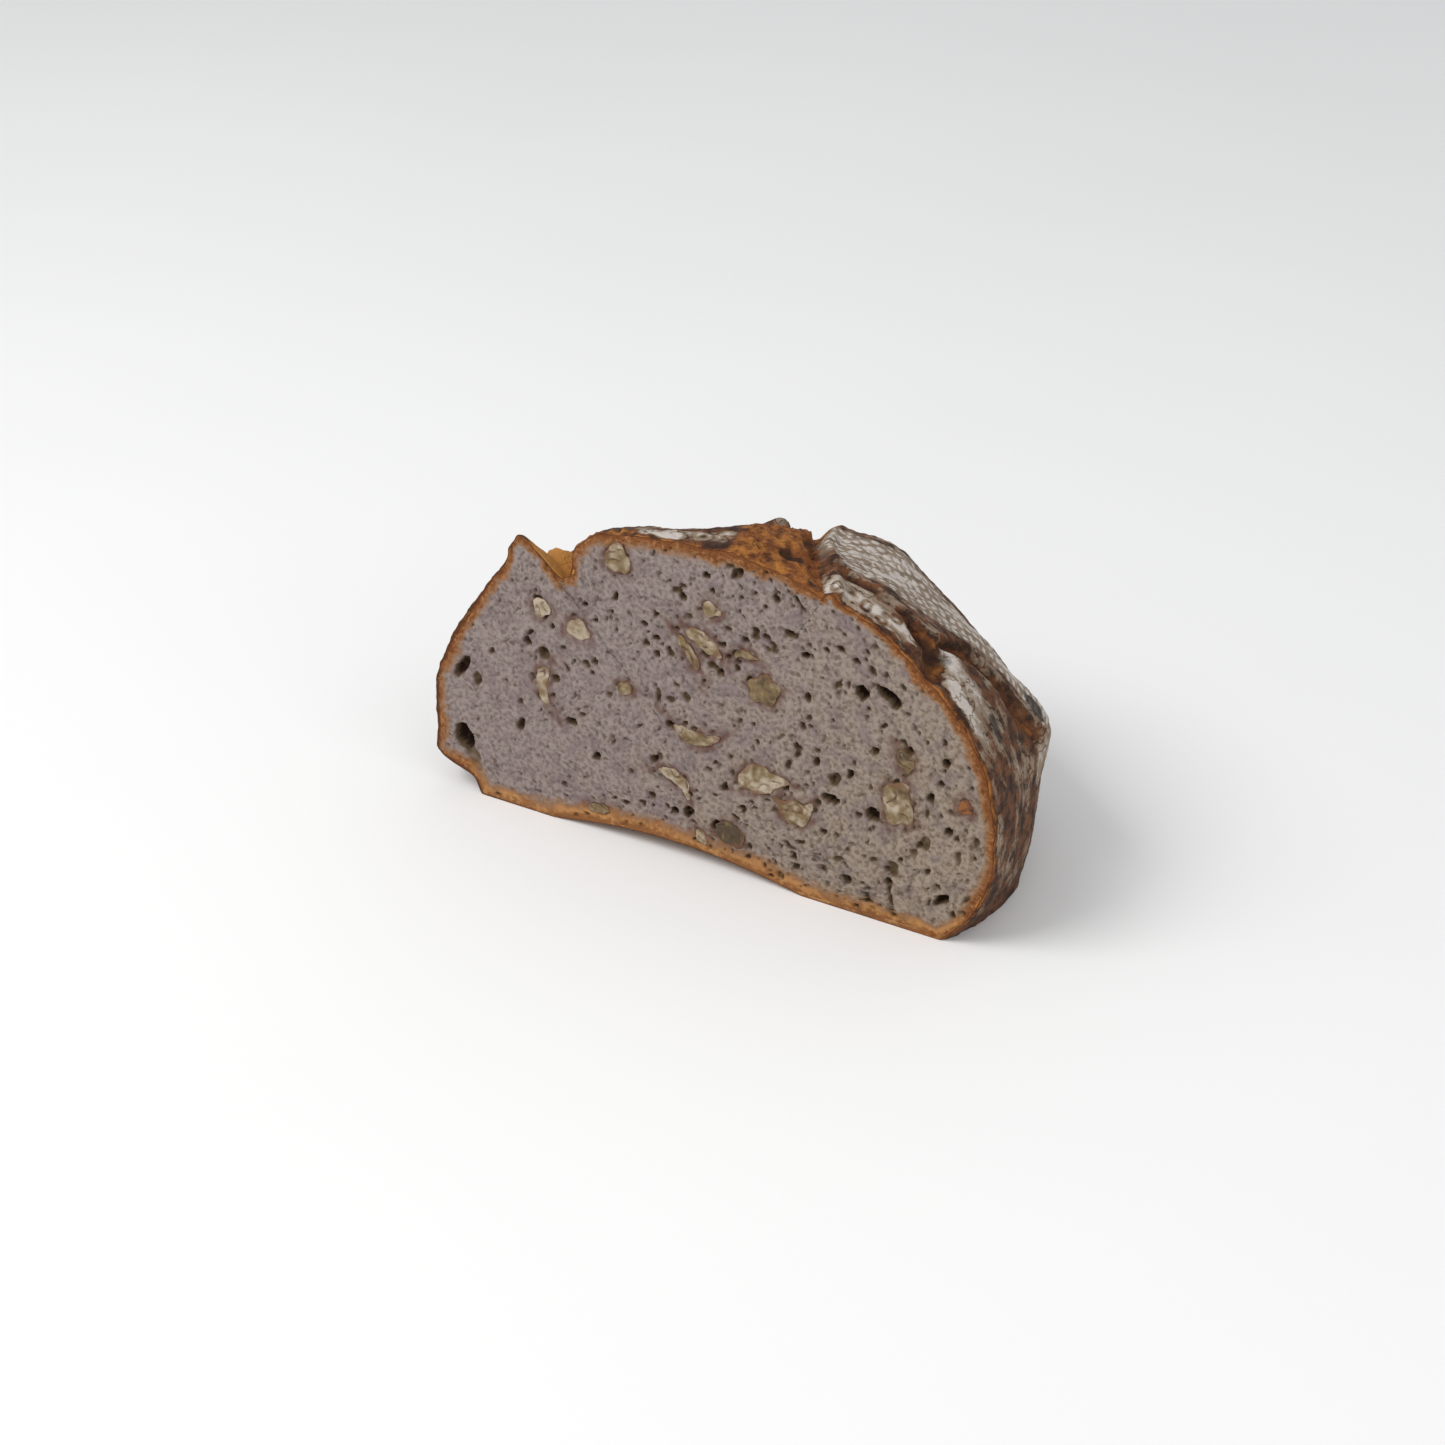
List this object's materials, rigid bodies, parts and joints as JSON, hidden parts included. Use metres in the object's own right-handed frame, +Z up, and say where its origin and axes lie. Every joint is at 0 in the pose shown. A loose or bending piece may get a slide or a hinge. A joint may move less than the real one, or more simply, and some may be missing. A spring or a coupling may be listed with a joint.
{
  "type": "half loaf of walnut bread",
  "caption": "Half of a round rustic walnut loaf, cut crosswise, with cracked floury crust, open crumb and walnut pieces set in the cut face",
  "frame": {"origin": "on the flat base, under the middle of the half loaf: 56 mm behind the cut face and midway between its feet", "axes": "+X runs along the cut face to its right end, +Y from the cut face to the back of the crust, +Z up from the base"},
  "size_m": [0.2069, 0.1158, 0.1154],
  "materials": {
    "baked_crust": "matt brown baked crust dusted with flour, over a dull grey-beige crumb",
    "walnut_kernel": "satin cream nut kernel with a thin brown skin"
  },
  "bodies": {
    "root": {"loaf": "baked_crust", "walnut_top_wedge": "walnut_kernel", "walnut_left_round": "walnut_kernel", "walnut_left_pebble": "walnut_kernel", "walnut_long_sliver": "walnut_kernel", "walnut_thin_sliver": "walnut_kernel", "walnut_small_sliver": "walnut_kernel", "walnut_middle_lump": "walnut_kernel", "walnut_left_hook": "walnut_kernel", "walnut_small_crumb": "walnut_kernel", "walnut_kidney": "walnut_kernel", "walnut_comma": "walnut_kernel", "walnut_large_leaf": "walnut_kernel", "walnut_two_horned": "walnut_kernel", "walnut_right_block": "walnut_kernel", "walnut_right_tip": "walnut_kernel", "walnut_low_olive": "walnut_kernel", "walnut_low_chip": "walnut_kernel", "walnut_base_chip": "walnut_kernel", "walnut_pale_chip": "walnut_kernel", "walnut_brown_knob": "walnut_kernel"}
  },
  "joints": []
}
